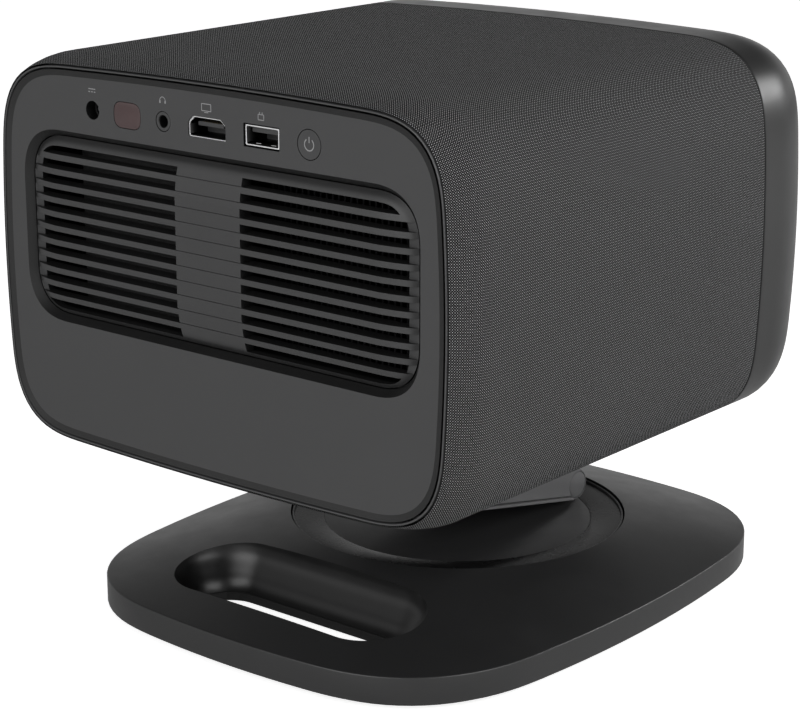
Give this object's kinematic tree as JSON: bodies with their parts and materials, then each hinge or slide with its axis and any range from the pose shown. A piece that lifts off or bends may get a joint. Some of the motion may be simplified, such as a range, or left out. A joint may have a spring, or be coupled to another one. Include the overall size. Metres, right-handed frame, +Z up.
{
  "type": "video projector",
  "caption": "Video projector with a woven sleeve and a socket panel, on a tilting arm and a turntable over a rounded base with a carrying slot.",
  "frame": {"origin": "on the turning axis of the turntable, at the underside of the foot mat, which is the surface the base stands on", "axes": "+Z up along the turning axis, +Y towards the lens, +X to the right seen from the back panel with the sockets"},
  "size_m": [0.1914, 0.2161, 0.191],
  "materials": {
    "base_body": "satin moulded",
    "base_cover": "moulded",
    "ballast_plate": "plain",
    "foot_mat": "matt",
    "cover_screw_1": "plain",
    "cover_screw_2": "plain",
    "cover_screw_3": "plain",
    "cover_screw_4": "plain",
    "thrust_washer": "plain",
    "turntable_platter": "satin",
    "turntable_bevel_ring": "glossy dark",
    "turntable_disc": "satin",
    "spindle": "turned",
    "spindle_nut": "plain",
    "hinge_lug": "dark",
    "hinge_pin": "turned",
    "tilt_arm": "satin",
    "arm_flange": "satin",
    "hinge_cap_left": "satin",
    "hinge_cap_right": "satin",
    "mount_plate": "pressed",
    "mount_screw_1": "plain",
    "mount_screw_2": "plain",
    "fabric_sleeve": "open plain weave",
    "inner_shell": "moulded",
    "back_lip": "satin",
    "back_panel": "fine satin",
    "vent_insert": "fine satin",
    "dc_inlet": "moulded",
    "audio_jack": "moulded",
    "video_socket": "plated",
    "data_socket": "plated",
    "video_tongue": "moulded",
    "data_tongue": "moulded",
    "receiver_window": "smoked",
    "power_button": "fine satin",
    "power_switch": "moulded",
    "port_board": "circuit board",
    "main_board": "circuit board",
    "deck": "pressed",
    "heat_sink": "extruded",
    "blower_housing": "moulded",
    "blower_wheel": "moulded",
    "heat_pipe_1": "copper tube",
    "heat_pipe_2": "copper tube",
    "lamp_module": "cast",
    "optical_housing": "moulded",
    "lens_tube": "moulded",
    "lens_barrel": "moulded",
    "front_lens": "coated",
    "focus_motor": "drawn can",
    "focus_screw": "threaded",
    "speaker_case_left": "moulded",
    "speaker_case_right": "moulded",
    "speaker_driver_left": "paper cone",
    "speaker_driver_right": "paper cone",
    "front_ring": "satin dark",
    "front_panel": "piano black",
    "sensor_window": "smoked",
    "lens_bezel": "satin dark"
  },
  "bodies": {
    "base": {"base_body": "base_body", "base_cover": "base_cover", "ballast_plate": "ballast_plate", "foot_mat": "foot_mat", "cover_screw_1": "cover_screw_1", "cover_screw_2": "cover_screw_2", "cover_screw_3": "cover_screw_3", "cover_screw_4": "cover_screw_4", "thrust_washer": "thrust_washer"},
    "turntable": {"turntable_platter": "turntable_platter", "turntable_bevel_ring": "turntable_bevel_ring", "turntable_disc": "turntable_disc", "spindle": "spindle", "spindle_nut": "spindle_nut", "hinge_lug": "hinge_lug", "hinge_pin": "hinge_pin"},
    "projector": {"tilt_arm": "tilt_arm", "arm_flange": "arm_flange", "hinge_cap_left": "hinge_cap_left", "hinge_cap_right": "hinge_cap_right", "mount_plate": "mount_plate", "mount_screw_1": "mount_screw_1", "mount_screw_2": "mount_screw_2", "fabric_sleeve": "fabric_sleeve", "inner_shell": "inner_shell", "back_lip": "back_lip", "back_panel": "back_panel", "vent_insert": "vent_insert", "dc_inlet": "dc_inlet", "audio_jack": "audio_jack", "video_socket": "video_socket", "data_socket": "data_socket", "video_tongue": "video_tongue", "data_tongue": "data_tongue", "receiver_window": "receiver_window", "power_switch": "power_switch", "port_board": "port_board", "main_board": "main_board", "deck": "deck", "heat_sink": "heat_sink", "blower_housing": "blower_housing", "heat_pipe_1": "heat_pipe_1", "heat_pipe_2": "heat_pipe_2", "lamp_module": "lamp_module", "optical_housing": "optical_housing", "lens_tube": "lens_tube", "focus_motor": "focus_motor", "speaker_case_left": "speaker_case_left", "speaker_case_right": "speaker_case_right", "speaker_driver_left": "speaker_driver_left", "speaker_driver_right": "speaker_driver_right", "front_ring": "front_ring", "front_panel": "front_panel", "sensor_window": "sensor_window", "lens_bezel": "lens_bezel"},
    "power_button": {"power_button": "power_button"},
    "blower_wheel": {"blower_wheel": "blower_wheel"},
    "focus_screw": {"focus_screw": "focus_screw"},
    "lens": {"lens_barrel": "lens_barrel", "front_lens": "front_lens"}
  },
  "joints": [
    {"name": "turntable_pan", "type": "hinge", "parent": "base", "child": "turntable", "pos_m": [0, 0, 0.015], "axis": [0, 0, 1], "continuous": true},
    {"name": "body_tilt", "type": "hinge", "parent": "turntable", "child": "projector", "pos_m": [0, 0.0396, 0.025], "axis": [1, 0, 0], "range_deg": [-15, 10]},
    {"name": "power_button_press", "type": "slide", "parent": "projector", "child": "power_button", "axis": [0, 1, 0], "range_m": [0, 0.0004], "stiffness_N_per_m": 400},
    {"name": "blower_spin", "type": "hinge", "parent": "projector", "child": "blower_wheel", "pos_m": [-0.0425, -0.0785, 0.125], "axis": [0, 0, 1], "continuous": true},
    {"name": "focus_screw_spin", "type": "hinge", "parent": "projector", "child": "focus_screw", "pos_m": [0.027, 0.045, 0.111], "axis": [0, 1, 0], "range_deg": [-675, 675]},
    {"name": "lens_focus", "type": "slide", "parent": "projector", "child": "lens", "axis": [0, 1, 0], "range_m": [-0.0015, 0.0015]}
  ],
  "couplings": [
    {"joint": "focus_screw_spin", "follows": "lens_focus", "rad_per_m": 7853.9}
  ]
}
